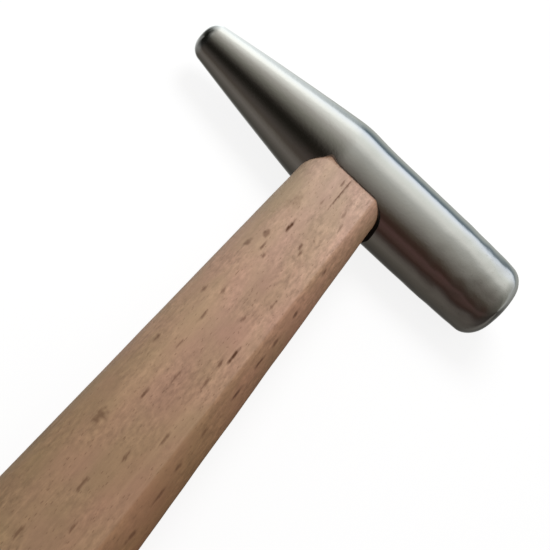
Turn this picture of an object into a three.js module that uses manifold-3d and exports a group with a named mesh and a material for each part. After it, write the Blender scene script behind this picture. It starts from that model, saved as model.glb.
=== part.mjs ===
// Small two-faced bench hammer: a turned steel head wedged onto a shouldered beech handle.
// Millimetres. +X runs along the head to its large face, +Y runs along the handle from the
// butt to the head, and +Z is up. The hammer lies on its side, resting on the lower broad face
// of the handle and on the head. The origin is the centre of the bottom of its bounding box.
import * as THREE from 'three';
import { mergeVertices } from 'three/addons/utils/BufferGeometryUtils.js';
import Module from 'manifold-3d';

const wasm = await Module();
wasm.setup();

// Head. Lengths are measured along X from the handle's axis, radii from the head's axis.
const SMALL_END_REACH = 44.1;
const SMALL_END_RADIUS = 4.49;
const SMALL_END_ROUNDING = 3.27;
const LARGE_END_REACH = 43.4;
const LARGE_END_ROUNDING = 4.2;
const FACE_DOME_RADIUS = 40;
const BARREL_RADIUS = 9.7;
const BARREL_START = 4.5;
const BARREL_TAPER = 0.57;
const BARREL_TAPER_LENGTH = 11;
const CONE_BULGE = 0.2;
const SWELL_OFFSET = 4.1;
const SWELL_RISE = 0.37;

// Eye through the head along Y: half sizes along X and Z at its mouth, waist and top.
const EYE_MOUTH = { x: 7.4, z: 5.0 };
const EYE_WAIST = { x: 6.9, z: 4.5 };
const EYE_TOP = { x: 7.9, z: 5.4 };
const EYE_CORNER = 0.62;

// Clearance between pieces that touch.
const GAP = 0.3;

// Handle. Distances along it are measured from the shoulder, towards the butt.
const HANDLE_LENGTH = 219.6;
const SHOULDER_HALF_WIDTH = 9.86;
const SHOULDER_HALF_THICKNESS = 9.7;
const SHOULDER_CORNER_ANGLE = 43;
const TAPER_LENGTH = 125;
const TAPER_BLEND_LENGTH = 40;
const GRIP_HALF_WIDTH = 13.4;
const GRIP_HALF_THICKNESS = 10;
const GRIP_CORNER_ANGLE = 14;
const THICKENING_LENGTH = 60;
const BROAD_FLAT_HALF_WIDTH = 6.3;
const SIDE_FLAT_SHARE = 0.18;
const BUTT_ROUNDING = 3.2;

// Wedges, driven into the end of the tenon: the wooden one along X, the steel one across it.
const WOOD_WEDGE_THICKNESS = 3.4;
const WOOD_WEDGE_TIP = 1.0;
const WOOD_WEDGE_DEPTH = 13;
const STEEL_WEDGE_THICKNESS = 1.9;
const STEEL_WEDGE_TIP = 0.6;
const STEEL_WEDGE_DEPTH = 9;
const STEEL_WEDGE_COVER = 1.3;
const STEEL_WEDGE_NARROWING = 0.6;
const WOOD_WEDGE_CORNER = 0.1;
const STEEL_WEDGE_CORNER = 0.3;

// How far a cutter runs on past the surface that it cuts.
const RUNOUT = 2;

const HEAD_SIDES = 56;
const QUARTER_STEPS = 11;

const swellRadius = BARREL_RADIUS + SWELL_RISE;
const largeEndRadius = BARREL_RADIUS - BARREL_TAPER;
const shoulderY = -(swellRadius + GAP);
const buttY = shoulderY - HANDLE_LENGTH;

const finishes = {
  steel: new THREE.MeshStandardMaterial({ color: 0xb9babc, roughness: 0.28, metalness: 1 }),
  wedgeSteel: new THREE.MeshStandardMaterial({ color: 0x9a9b9e, roughness: 0.5, metalness: 1 }),
  beech: new THREE.MeshStandardMaterial({ color: 0xb8977c, roughness: 0.7, metalness: 0 }),
  wedgeWood: new THREE.MeshStandardMaterial({ color: 0xa57f5e, roughness: 0.75, metalness: 0 }),
};

const { lerp, smoothstep, degToRad } = THREE.MathUtils;

// Booleans -------------------------------------------------------------------------------

function toSolid(geometry) {
  const bare = geometry.clone();
  bare.deleteAttribute('normal');
  bare.deleteAttribute('uv');
  const merged = mergeVertices(bare, 1e-4);
  return new wasm.Manifold(new wasm.Mesh({
    numProp: 3,
    vertProperties: new Float32Array(merged.attributes.position.array),
    triVerts: new Uint32Array(merged.index.array),
  }));
}

function toGeometry(solid) {
  const mesh = solid.getMesh();
  const geometry = new THREE.BufferGeometry();
  geometry.setAttribute('position', new THREE.BufferAttribute(mesh.vertProperties, 3));
  geometry.setIndex(new THREE.BufferAttribute(mesh.triVerts, 1));
  geometry.computeVertexNormals();
  return geometry;
}

function cut(geometry, ...tools) {
  return toGeometry(tools.reduce((solid, tool) => solid.subtract(toSolid(tool)), toSolid(geometry)));
}

function overlap(geometry, other) {
  return toGeometry(toSolid(geometry).intersect(toSolid(other)));
}

// Lofts ----------------------------------------------------------------------------------

// A closed solid through rings that all have the same number of points, in rising Y order.
// Each ring is { y, outline }, its outline a list of [x, z] that turns from +X towards +Z.
function loft(rings) {
  const count = rings[0].outline.length;
  const positions = rings.flatMap(({ y, outline }) => outline.flatMap(([x, z]) => [x, y, z]));
  const index = [];
  for (let ring = 0; ring < rings.length - 1; ring++) {
    for (let i = 0; i < count; i++) {
      const a = ring * count + i;
      const b = ring * count + (i + 1) % count;
      index.push(a, a + count, b, b, a + count, b + count);
    }
  }
  const last = (rings.length - 1) * count;
  for (let i = 1; i < count - 1; i++) {
    index.push(0, i, i + 1, last, last + i + 1, last + i);
  }
  const geometry = new THREE.BufferGeometry();
  geometry.setAttribute('position', new THREE.Float32BufferAttribute(positions, 3));
  geometry.setIndex(index);
  geometry.computeVertexNormals();
  return geometry;
}

// The whole outline from its +X +Z quarter, whose points run from the +X side to the +Z side.
function mirrorQuarter(quarter) {
  const back = [...quarter].reverse();
  return [
    ...quarter,
    ...back.map(([x, z]) => [-x, z]),
    ...quarter.map(([x, z]) => [-x, -z]),
    ...back.map(([x, z]) => [x, -z]),
  ];
}

// A rounded rectangle of half sizes x and z, each made smaller by the inset. Its corners are
// elliptical, and take the given share of each half size.
function roundedRectangle(half, share, inset = 0) {
  const x = half.x - inset;
  const z = half.z - inset;
  const quarter = [];
  for (let step = 0; step <= QUARTER_STEPS; step++) {
    const turn = (step / QUARTER_STEPS) * Math.PI / 2;
    quarter.push([x * (1 - share + share * Math.cos(turn)), z * (1 - share + share * Math.sin(turn))]);
  }
  return mirrorQuarter(quarter);
}

// The handle's section: a broad flat above and below, ending in a corner, and bowed sides that
// leave the corner at the given angle and become upright at the middle.
function handleSection(halfWidth, halfThickness, flat, cornerAngle) {
  const drop = (halfWidth - flat) * Math.tan(degToRad(cornerAngle));
  const side = new THREE.QuadraticBezierCurve(
    new THREE.Vector2(halfWidth, halfThickness * SIDE_FLAT_SHARE),
    new THREE.Vector2(halfWidth, halfThickness - drop),
    new THREE.Vector2(flat, halfThickness),
  );
  return mirrorQuarter(side.getPoints(QUARTER_STEPS).map((point) => [point.x, point.y]));
}

// Head -----------------------------------------------------------------------------------

// Points from the tip on the axis to the start of the side, for an end whose domed face meets
// its rounded rim smoothly. The first coordinate is the distance from the handle's axis.
function roundedEnd(reach, radius, rounding, sideSlope) {
  const inner = radius - rounding;
  const offset = Math.sqrt((FACE_DOME_RADIUS - rounding) ** 2 - inner ** 2);
  const domeTurn = Math.atan2(inner, offset);
  const domeCentre = reach - FACE_DOME_RADIUS;
  const points = [];
  for (const share of [0, 0.5]) {
    const turn = domeTurn * share;
    const along = domeCentre + FACE_DOME_RADIUS * Math.cos(turn);
    points.push(new THREE.Vector2(along, FACE_DOME_RADIUS * Math.sin(turn)));
  }
  const steps = 7;
  for (let step = 0; step <= steps; step++) {
    const turn = lerp(domeTurn, Math.PI / 2 - Math.atan(sideSlope), step / steps);
    const along = domeCentre + offset + rounding * Math.cos(turn);
    points.push(new THREE.Vector2(along, inner + rounding * Math.sin(turn)));
  }
  return points;
}

// The head's half outline, from the tip of its small end to the middle of its large face: a
// slightly bulged cone, a swell beside the handle, and a barrel that tapers before its rim.
function headOutline() {
  const swell = new THREE.Vector2(-SWELL_OFFSET, swellRadius);
  const coneRun = SMALL_END_REACH - SMALL_END_ROUNDING - SWELL_OFFSET;
  const coneSlope = (swellRadius - SMALL_END_RADIUS) / coneRun;
  const small = roundedEnd(SMALL_END_REACH, SMALL_END_RADIUS, SMALL_END_ROUNDING, coneSlope);
  small.forEach((point) => { point.x = -point.x; });
  const coneStart = small.at(-1);
  const cone = (share) => coneStart.clone().lerp(swell, share).add(
    new THREE.Vector2(0, CONE_BULGE * Math.sin(Math.PI * share)),
  );
  const taperSlope = BARREL_TAPER / (2 * BARREL_TAPER_LENGTH);
  const large = roundedEnd(LARGE_END_REACH, largeEndRadius, LARGE_END_ROUNDING, taperSlope).reverse();
  const taperStart = LARGE_END_REACH - LARGE_END_ROUNDING - BARREL_TAPER_LENGTH;
  const side = new THREE.SplineCurve([
    coneStart,
    cone(0.35),
    cone(0.7),
    cone(0.9),
    swell,
    new THREE.Vector2((BARREL_START - SWELL_OFFSET) / 2, BARREL_RADIUS + SWELL_RISE * 0.4),
    new THREE.Vector2(BARREL_START, BARREL_RADIUS),
    new THREE.Vector2(taperStart, BARREL_RADIUS - BARREL_TAPER / 5),
    large[0],
  ]);
  return [...small, ...side.getPoints(16).slice(1, -1), ...large];
}

// The eye's half sizes at a height along Y: it narrows from its mouth to its waist at the head's
// axis, and flares again towards the top, where the wedges spread the tenon.
function eyeHalfSizes(y) {
  const [from, to] = y < 0 ? [EYE_MOUTH, EYE_WAIST] : [EYE_TOP, EYE_WAIST];
  const share = Math.max(0, 1 - Math.abs(y) / swellRadius);
  return { x: lerp(from.x, to.x, share), z: lerp(from.z, to.z, share) };
}

// Rings with the eye's shape between two heights, made smaller all round by the inset.
function eyeRings(bottom, top, inset) {
  const heights = [bottom, -swellRadius, -swellRadius / 2, 0, swellRadius / 2, swellRadius, top];
  return heights.map((y) => ({ y, outline: roundedRectangle(eyeHalfSizes(y), EYE_CORNER, inset) }));
}

// The head before its eye is cut. The lathe turns about Y, so its axis is laid along X.
function headBlank() {
  const outline = headOutline().map((point) => new THREE.Vector2(point.y, point.x));
  outline[0].x = 0;
  outline.at(-1).x = 0;
  return new THREE.LatheGeometry(outline, HEAD_SIDES).rotateZ(-Math.PI / 2);
}

function headGeometry() {
  const past = swellRadius + RUNOUT;
  return cut(headBlank(), loft(eyeRings(-past, past, 0)));
}

// Handle ---------------------------------------------------------------------------------

// The handle's section at a distance below the shoulder, made smaller all round by the inset.
function handleRing(distance, inset = 0) {
  const slope = (GRIP_HALF_WIDTH - SHOULDER_HALF_WIDTH) / (TAPER_LENGTH + TAPER_BLEND_LENGTH / 2);
  const blended = THREE.MathUtils.clamp(distance - TAPER_LENGTH, 0, TAPER_BLEND_LENGTH);
  const run = Math.min(distance, TAPER_LENGTH) + blended - blended ** 2 / (2 * TAPER_BLEND_LENGTH);
  const halfWidth = SHOULDER_HALF_WIDTH + slope * run;
  const thickening = smoothstep(distance, 0, THICKENING_LENGTH);
  const halfThickness = lerp(SHOULDER_HALF_THICKNESS, GRIP_HALF_THICKNESS, thickening);
  const softening = smoothstep(distance, 0, TAPER_LENGTH + TAPER_BLEND_LENGTH);
  const cornerAngle = lerp(SHOULDER_CORNER_ANGLE, GRIP_CORNER_ANGLE, softening);
  return {
    y: shoulderY - distance,
    outline: handleSection(
      halfWidth - inset,
      halfThickness - inset,
      BROAD_FLAT_HALF_WIDTH - inset / 2,
      cornerAngle,
    ),
  };
}

// The handle before its kerf is sawn: butt, grip, shoulder and tenon in one loft, with the end
// of the tenon dressed off flush with the round of the head.
function handleBlank() {
  const rings = [];
  const roundingSteps = 4;
  const straightEnd = HANDLE_LENGTH - BUTT_ROUNDING;
  for (let step = roundingSteps; step > 0; step--) {
    const turn = (step / roundingSteps) * Math.PI / 2;
    rings.push(handleRing(
      straightEnd + BUTT_ROUNDING * Math.sin(turn),
      BUTT_ROUNDING * (1 - Math.cos(turn)),
    ));
  }
  const gripSteps = 13;
  for (let step = gripSteps; step >= 0; step--) {
    rings.push(handleRing(straightEnd * step / gripSteps));
  }
  const rough = loft([...rings, ...eyeRings(shoulderY, swellRadius + RUNOUT, GAP)]);
  const above = new THREE.BoxGeometry(4 * EYE_TOP.x, 2 * (swellRadius + RUNOUT), 4 * EYE_TOP.z);
  above.translate(0, swellRadius + RUNOUT, 0);
  return cut(rough, cut(above, headBlank()));
}

// Wedges ---------------------------------------------------------------------------------

// Half sizes along X and Z of the two wedges at a height. Both are dressed off with the tenon.
function woodWedgeHalf(y) {
  const share = (swellRadius - y) / WOOD_WEDGE_DEPTH;
  return {
    x: EYE_TOP.x + RUNOUT,
    z: lerp(WOOD_WEDGE_THICKNESS, WOOD_WEDGE_TIP, share) / 2,
  };
}

function steelWedgeHalf(y) {
  const share = (swellRadius - y) / STEEL_WEDGE_DEPTH;
  const halfWidth = EYE_TOP.z - GAP - STEEL_WEDGE_COVER;
  return {
    x: lerp(STEEL_WEDGE_THICKNESS, STEEL_WEDGE_TIP, share) / 2,
    z: halfWidth - STEEL_WEDGE_NARROWING * share,
  };
}

// A tapered blade from just past the tenon's end down to a depth. A cutter for its slot is
// larger all round by the clearance.
function blade(halfSizes, depth, corner, clearance) {
  const bottom = swellRadius - depth - clearance;
  const top = swellRadius + RUNOUT;
  return loft([bottom, top].map((y) => ({
    y,
    outline: roundedRectangle(halfSizes(y), corner, -clearance),
  })));
}

const woodBlade = (clearance) => blade(woodWedgeHalf, WOOD_WEDGE_DEPTH, WOOD_WEDGE_CORNER, clearance);
const steelBlade = (clearance) => blade(steelWedgeHalf, STEEL_WEDGE_DEPTH, STEEL_WEDGE_CORNER, clearance);

// Assembly -------------------------------------------------------------------------------

function piece(name, geometry, finish) {
  const mesh = new THREE.Mesh(geometry, finish);
  mesh.name = name;
  return mesh;
}

const blank = handleBlank();
const hammer = new THREE.Group();
hammer.add(
  piece('head', headGeometry(), finishes.steel),
  piece('handle', cut(blank, woodBlade(GAP), steelBlade(GAP)), finishes.beech),
  piece('wooden_wedge', cut(overlap(woodBlade(0), blank), steelBlade(GAP)), finishes.wedgeWood),
  piece('steel_wedge', overlap(steelBlade(0), blank), finishes.wedgeSteel),
);

// The model is drawn about the middle of the eye, and then moved so that the origin is the
// centre of the bottom of its bounding box.
hammer.position.set(
  (SMALL_END_REACH - LARGE_END_REACH) / 2,
  -(swellRadius + buttY) / 2,
  Math.max(swellRadius, GRIP_HALF_THICKNESS),
);

const part = new THREE.Group();
part.add(hammer);

export default part;
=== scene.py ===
"""Looks for a small bench hammer: a polished steel head wedged onto a beech handle.

The shapes are worked out in millimetres about the middle of the eye, with +X along the head to
its large face, +Y along the handle towards the head and +Z up, and are put in place in metres.
"""

import math

import bmesh
import bpy
import numpy as np
from mathutils import Matrix, Vector, noise


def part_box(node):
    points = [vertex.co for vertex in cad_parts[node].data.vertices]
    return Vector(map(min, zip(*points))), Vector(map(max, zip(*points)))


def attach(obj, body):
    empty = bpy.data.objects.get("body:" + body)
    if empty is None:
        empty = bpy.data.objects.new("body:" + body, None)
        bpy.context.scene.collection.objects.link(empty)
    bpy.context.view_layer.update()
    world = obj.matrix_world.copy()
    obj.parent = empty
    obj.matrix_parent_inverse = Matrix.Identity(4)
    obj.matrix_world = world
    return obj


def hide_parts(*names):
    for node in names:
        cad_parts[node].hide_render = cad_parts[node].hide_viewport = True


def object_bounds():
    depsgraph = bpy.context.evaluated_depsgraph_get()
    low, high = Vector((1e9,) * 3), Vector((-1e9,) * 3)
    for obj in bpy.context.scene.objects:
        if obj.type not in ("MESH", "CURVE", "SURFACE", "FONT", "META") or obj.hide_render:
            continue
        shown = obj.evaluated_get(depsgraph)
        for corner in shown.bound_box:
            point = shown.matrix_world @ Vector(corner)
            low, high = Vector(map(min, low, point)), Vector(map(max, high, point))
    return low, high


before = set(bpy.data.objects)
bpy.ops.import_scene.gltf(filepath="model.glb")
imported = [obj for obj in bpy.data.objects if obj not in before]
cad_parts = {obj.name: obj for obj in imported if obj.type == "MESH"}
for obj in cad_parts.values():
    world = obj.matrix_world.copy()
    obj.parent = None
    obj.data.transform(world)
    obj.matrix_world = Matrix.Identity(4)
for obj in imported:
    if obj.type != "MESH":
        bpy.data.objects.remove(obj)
cad_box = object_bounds()

MM = 0.001

# Head, measured from the handle's axis and from the head's own axis.
SMALL_END_REACH = 44.1
SMALL_END_RADIUS = 4.49
SMALL_END_ROUNDING = 3.27
LARGE_END_REACH = 43.4
LARGE_END_ROUNDING = 4.2
FACE_DOME_RADIUS = 40.0
BARREL_RADIUS = 9.7
BARREL_START = 4.5
BARREL_TAPER = 0.57
BARREL_TAPER_LENGTH = 11.0
CONE_BULGE = 0.2
SWELL_OFFSET = 4.1
SWELL_RADIUS = BARREL_RADIUS + 0.37
SWELL_TAIL_RADIUS = BARREL_RADIUS + 0.15
SWELL_SMOOTHING = 40
PROFILE_STEPS = 200
HEAD_SIDES = 192

# Eye: half sizes along X and Z at its mouth, waist and top.
EYE_MOUTH = (7.4, 5.0)
EYE_WAIST = (6.9, 4.5)
EYE_TOP = (7.9, 5.4)
EYE_CORNER = 0.62
EYE_EDGE_ROUNDING = 0.45

# The hole left in the turned head for each mouth of the eye, in sides of the head and along X.
HOLE_HALF_TURN = 23
HOLE_HALF_LENGTH = 10.6

# Handle, measured from the shoulder towards the butt.
SHOULDER_GAP = 0.3
SHOULDER_Y = -(SWELL_RADIUS + SHOULDER_GAP)
HANDLE_LENGTH = 219.6
SHOULDER_HALF_WIDTH = 9.86
SHOULDER_HALF_THICKNESS = 9.7
SHOULDER_CORNER_ANGLE = 43.0
TAPER_LENGTH = 125.0
TAPER_BLEND_LENGTH = 40.0
GRIP_HALF_WIDTH = 13.4
GRIP_HALF_THICKNESS = 10.0
GRIP_CORNER_ANGLE = 14.0
THICKENING_LENGTH = 60.0
BROAD_FLAT_HALF_WIDTH = 6.3
SIDE_FLAT_SHARE = 0.18
BUTT_ROUNDING = 3.2
SHOULDER_ROUNDING = 0.35
TENON_CLEARANCE = 0.08
TENON_RECESS = 0.12
SHOULDER_SOFTNESS = 0.15
GRIP_SOFTNESS = 0.7

# The handle's mesh: the points in a ring, and the rings of its side, which start just below the
# shoulder and are closest together over the fine length.
HANDLE_POINTS = 320
SIDE_START = 0.6
FINE_LENGTH = 112
FINE_RINGS = 195
COARSE_RINGS = 50

# Wear at the shoulder: end grain crushed up towards the head, a slight swell below it and a torn
# edge with one raised splinter; also a thin lip out of its right side, coloured near black as
# painted shade in the gap against the head. Each span gives the coordinate where a feature starts
# and the one where it is full.
SHOULDER_LIP = 1.35
LIP_THICKNESS = 0.4
LIP_UNDERSIDE_SHARE = 0.12
LIP_UNDERSIDE_RISE = 0.012
LIP_UPPER_SPAN = (9.6, -1.0)
LIP_LOWER_SPAN = (-5.5, 0)
FACE_CRUSH = 0.25
SIDE_CRUSH = 1.3
SIDE_CRUSH_SPAN = (6.0, 9.3)
CONTACT_GAP = 0.12
RIGHT_SWELL = 0.1
RIGHT_SWELL_X_SPAN = (5, 9)
RIGHT_SWELL_Z_SPAN = (9, 4)
RIGHT_SWELL_LENGTH_SPAN = (18, 4)
TORN_EDGE = 0.12
TORN_EDGE_RIPPLE = 1.1
TORN_EDGE_SPAN = (0.7, 0.1)
TORN_EDGE_RADIUS = 9
SPLINTER_RISE = 1.3
SPLINTER_PLACE = (-6.7, 9.4)
SPLINTER_SPREAD = 2.0
# How far up the end grain the painted shade of the gap against the head reaches, and how dark it
# is there.
PAINTED_SHADE_RISE = 2.0
END_GRAIN_PAINTED_SHADE = 0.8

# Wedges, driven in from the top of the head.
WOOD_WEDGE = dict(top=3.4, tip=1.0, depth=13.0, recess=0.16)
STEEL_WEDGE = dict(top=1.9, tip=0.6, depth=9.0, recess=0.08, half_width=3.8, narrowing=0.6)
WEDGE_CORNER = 0.12
WEDGE_POINTS = 120
WEDGE_CLEARANCE = 0.05
KERF_OVERRUN = 2.0
CUTTER_RISE = 3

head_low, head_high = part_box("head")
EYE = Vector((
    head_low.x + SMALL_END_REACH * MM,
    (head_low.y + head_high.y) / 2,
    (head_low.z + head_high.z) / 2,
))


# Helpers --------------------------------------------------------------------------------

def lerp(a, b, t):
    return a + (b - a) * t


def smoothstep(value, low, high):
    t = np.clip((value - low) / (high - low), 0, 1)
    return t * t * (3 - 2 * t)


def set_shading(mesh, sharp_angle):
    """Smooth shading that keeps edges sharper than this angle crisp."""
    mesh.shade_smooth()
    mesh.set_sharp_from_angle(angle=math.radians(sharp_angle))


def make_piece(name, points, faces, material=None, node=None, slot=None, sharp_angle=40):
    """A mesh object from points in millimetres about the eye, standing for a CAD node if any."""
    mesh = bpy.data.meshes.new(name)
    place = np.array(EYE) + np.asarray(points, float) * MM
    mesh.from_pydata(place.tolist(), [], [list(face) for face in faces])
    work = bmesh.new()
    work.from_mesh(mesh)
    bmesh.ops.recalc_face_normals(work, faces=work.faces)
    work.to_mesh(mesh)
    work.free()
    set_shading(mesh, sharp_angle)
    piece = bpy.data.objects.new(name, mesh)
    bpy.context.scene.collection.objects.link(piece)
    if material:
        mesh.materials.append(material)
    if node:
        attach(piece, "root")
        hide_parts(node)
    return piece


def join_rings(first, second):
    """Quads between two closed rings, each a list of point numbers."""
    return [
        (first[i - 1], first[i], second[i], second[i - 1])
        for i in range(len(first))
    ]


def add_rings(points, faces, last, rings):
    """Adds rings of points to a mesh, each joined to the one before; gives the last one."""
    for ring in rings:
        current = list(range(len(points), len(points) + len(ring)))
        points.extend(ring)
        faces += join_rings(last, current)
        last = current
    return last


def points_at(points, ids):
    return np.array([points[i] for i in ids])


def stack_rings(rings):
    """Points and faces of a tube through rings of equal length, its ends closed by fans."""
    count = len(rings[0])
    points = list(rings[0])
    faces = []
    first = list(range(count))
    last = add_rings(points, faces, first, rings[1:])
    for end in (first, last):
        points.append(points_at(points, end).mean(0))
        faces += [(end[i - 1], end[i], len(points) - 1) for i in range(count)]
    return points, faces


def ripple(points, wavelength, seed):
    """Smooth noise of about -1 to 1 at each point, in millimetres, the same on each run."""
    shift = Vector((seed * 17.3, seed * -9.1, seed * 5.7))
    return np.array([noise.noise(Vector(p) / wavelength + shift) for p in points]) * 1.6


# Outlines -------------------------------------------------------------------------------

def mirror_quarter(quarter):
    """The whole outline from its +X +Z quarter, whose points run from +X towards +Z."""
    x, z = quarter[:, 0], quarter[:, 1]
    return np.concatenate([
        np.column_stack([x, z]),
        np.column_stack([-x, z])[::-1],
        np.column_stack([-x, -z]),
        np.column_stack([x, -z])[::-1],
    ])


def even_outline(outline, count, softness):
    """The closed outline as evenly spaced points, its corners softened over that length."""
    closed = np.vstack([outline, outline[:1]])
    steps = np.linalg.norm(np.diff(closed, axis=0), axis=1)
    along = np.concatenate([[0], np.cumsum(steps)])
    places = np.linspace(0, along[-1], count, endpoint=False)
    even = np.column_stack([np.interp(places, along, closed[:, k]) for k in (0, 1)])
    if softness:
        spacing = along[-1] / count
        offsets = np.arange(-count // 2, count // 2)
        weights = np.exp(-0.5 * (offsets * spacing / softness) ** 2)
        weights = np.roll(weights / weights.sum(), count // 2)
        blur = np.fft.rfft(weights)
        even = np.column_stack([
            np.fft.irfft(np.fft.rfft(even[:, k]) * blur, count) for k in (0, 1)
        ])
    return even


def outline_normals(outline):
    """Unit normals of a closed outline, pointing out of it."""
    along = np.roll(outline, -1, axis=0) - np.roll(outline, 1, axis=0)
    normal = np.column_stack([along[:, 1], -along[:, 0]])
    return normal / np.linalg.norm(normal, axis=1)[:, None]


def rounded_rectangle(half_x, half_z, share, steps=24):
    turn = np.linspace(0, math.pi / 2, steps)
    quarter = np.column_stack([
        half_x * (1 - share + share * np.cos(turn)),
        half_z * (1 - share + share * np.sin(turn)),
    ])
    return mirror_quarter(quarter)


def towards(outline, directions):
    """Where rays from the middle at these angles cross a convex outline."""
    angles = np.arctan2(outline[:, 1], outline[:, 0])
    order = np.argsort(angles)
    reach = np.hypot(outline[:, 0], outline[:, 1])[order]
    found = np.interp(directions, angles[order], reach, period=2 * math.pi)
    return np.column_stack([found * np.cos(directions), found * np.sin(directions)])


def at_height(flat, y):
    """Points from (x, z) pairs and one height, or a height for each."""
    return np.column_stack([flat[:, 0], np.broadcast_to(y, len(flat)), flat[:, 1]])


# Head -----------------------------------------------------------------------------------

def rounded_end(reach, radius, rounding, side_slope, steps):
    """(distance, radius) points from the tip to the side of a domed end with a round rim."""
    inner = radius - rounding
    offset = math.sqrt((FACE_DOME_RADIUS - rounding) ** 2 - inner ** 2)
    dome_turn = math.atan2(inner, offset)
    dome_centre = reach - FACE_DOME_RADIUS
    dome = np.linspace(0, dome_turn, steps, endpoint=False)
    rim = np.linspace(dome_turn, math.pi / 2 - math.atan(side_slope), 2 * steps)
    return np.concatenate([
        np.column_stack([
            dome_centre + FACE_DOME_RADIUS * np.cos(dome),
            FACE_DOME_RADIUS * np.sin(dome),
        ]),
        np.column_stack([
            dome_centre + offset + rounding * np.cos(rim),
            inner + rounding * np.sin(rim),
        ]),
    ])


def spline_through(points, steps):
    """A smooth curve through the points, with that many steps between each two."""
    padded = np.vstack([points[:1], points, points[-1:]])
    curve = []
    for before, start, end, after in zip(padded, padded[1:], padded[2:], padded[3:]):
        for t in np.arange(steps) / steps:
            curve.append(0.5 * (
                2 * start
                + (end - before) * t
                + (2 * before - 5 * start + 4 * end - after) * t * t
                + (3 * start - before - 3 * end + after) * t ** 3
            ))
    return np.vstack([curve, points[-1:]])


def head_profile():
    """(x, radius) from the tip of the small end to the middle of the large face."""
    cone_run = SMALL_END_REACH - SMALL_END_ROUNDING - SWELL_OFFSET
    cone_slope = (SWELL_RADIUS - SMALL_END_RADIUS) / cone_run
    taper_slope = BARREL_TAPER / (2 * BARREL_TAPER_LENGTH)
    small = rounded_end(
        SMALL_END_REACH, SMALL_END_RADIUS, SMALL_END_ROUNDING, cone_slope, steps=9
    )
    large = rounded_end(
        LARGE_END_REACH, BARREL_RADIUS - BARREL_TAPER, LARGE_END_ROUNDING, taper_slope, steps=10
    )[::-1]
    small[:, 0] *= -1
    swell = np.array([-SWELL_OFFSET, SWELL_RADIUS])
    cone = [
        lerp(small[-1], swell, share) + [0, CONE_BULGE * math.sin(math.pi * share)]
        for share in (0, 0.35, 0.7, 0.9)
    ]
    taper_start = LARGE_END_REACH - LARGE_END_ROUNDING - BARREL_TAPER_LENGTH
    side = spline_through(np.array([
        *cone,
        swell,
        [(BARREL_START - SWELL_OFFSET) / 2, SWELL_TAIL_RADIUS],
        [BARREL_START, BARREL_RADIUS],
        [taper_start, BARREL_RADIUS - BARREL_TAPER / 5],
        large[0],
    ]), steps=24)
    x = np.linspace(side[0, 0], side[-1, 0], PROFILE_STEPS)
    radius = np.interp(x, side[:, 0], side[:, 1])
    for _ in range(SWELL_SMOOTHING):
        radius[1:-1] = (radius[:-2] + 2 * radius[1:-1] + radius[2:]) / 4
    return np.vstack([small[:-1], np.column_stack([x, radius]), large[1:]])


PROFILE = head_profile()


def head_radius(x):
    return np.interp(x, PROFILE[:, 0], PROFILE[:, 1])


def head_surface_y(x, z):
    """Height along +Y of the round of the head above a point of its middle plane."""
    return np.sqrt(np.maximum(head_radius(x) ** 2 - z ** 2, 0))


UNIT_EYE = rounded_rectangle(1, 1, EYE_CORNER)


def unit_eye_towards(flat):
    """Points of the unit eye outline in the directions of these (x, z) points."""
    scaled = flat / EYE_WAIST
    return towards(UNIT_EYE, np.arctan2(scaled[:, 1], scaled[:, 0]))


def eye_half_sizes(y):
    """The eye's half sizes along X and Z at each of these heights."""
    share = np.clip(1 - np.abs(y) / SWELL_RADIUS, 0, 1)[:, None]
    ends = np.where(y[:, None] < 0, EYE_MOUTH, EYE_TOP)
    return lerp(ends, np.array(EYE_WAIST), share)


def meet_round(unit, half_sizes, sign=1.0, recess=0.0):
    """Where a column of this unit outline meets the round of the head."""
    y = np.full(len(unit), sign * SWELL_RADIUS)
    for _ in range(4):
        flat = unit * half_sizes(y)
        y = sign * (head_surface_y(flat[:, 0], flat[:, 1]) - recess)
    return at_height(flat, y)


def grid_point(row, side):
    return row * HEAD_SIDES + side % HEAD_SIDES


def turned_grid(inner):
    """Rows of points round the head, one row for each (x, radius) between its two tips."""
    turns = np.arange(HEAD_SIDES) * 2 * math.pi / HEAD_SIDES
    return np.stack([
        np.repeat(inner[:, :1], HEAD_SIDES, 1),
        inner[:, 1:] * np.cos(turns),
        inner[:, 1:] * np.sin(turns),
    ], -1)


def turned_faces(rows, hole_start, hole_end):
    """The quads of the turned grid, without those in the holes at +Y and -Y."""
    def in_hole(row, side):
        near = (side + HOLE_HALF_TURN) % (HEAD_SIDES // 2) < 2 * HOLE_HALF_TURN
        return near and hole_start <= row < hole_end

    return [
        (grid_point(row, side), grid_point(row, side + 1),
         grid_point(row + 1, side + 1), grid_point(row + 1, side))
        for row in range(rows - 1) for side in range(HEAD_SIDES) if not in_hole(row, side)
    ]


def add_tip(points, faces, row, x):
    """Closes one end of the turned grid with a fan round a point on the axis."""
    points.append(np.array([x, 0, 0]))
    hub = len(points) - 1
    faces += [(grid_point(row, i), grid_point(row, i + 1), hub) for i in range(HEAD_SIDES)]


def hole_border(start, end):
    """The border of a hole, in order, as (row, side from the hole's centre)."""
    half = HOLE_HALF_TURN
    border = [(row, -half) for row in range(start, end)]
    border += [(end, side) for side in range(-half, half)]
    border += [(row, half) for row in range(end, start, -1)]
    border += [(start, side) for side in range(half, -half, -1)]
    return border


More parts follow.
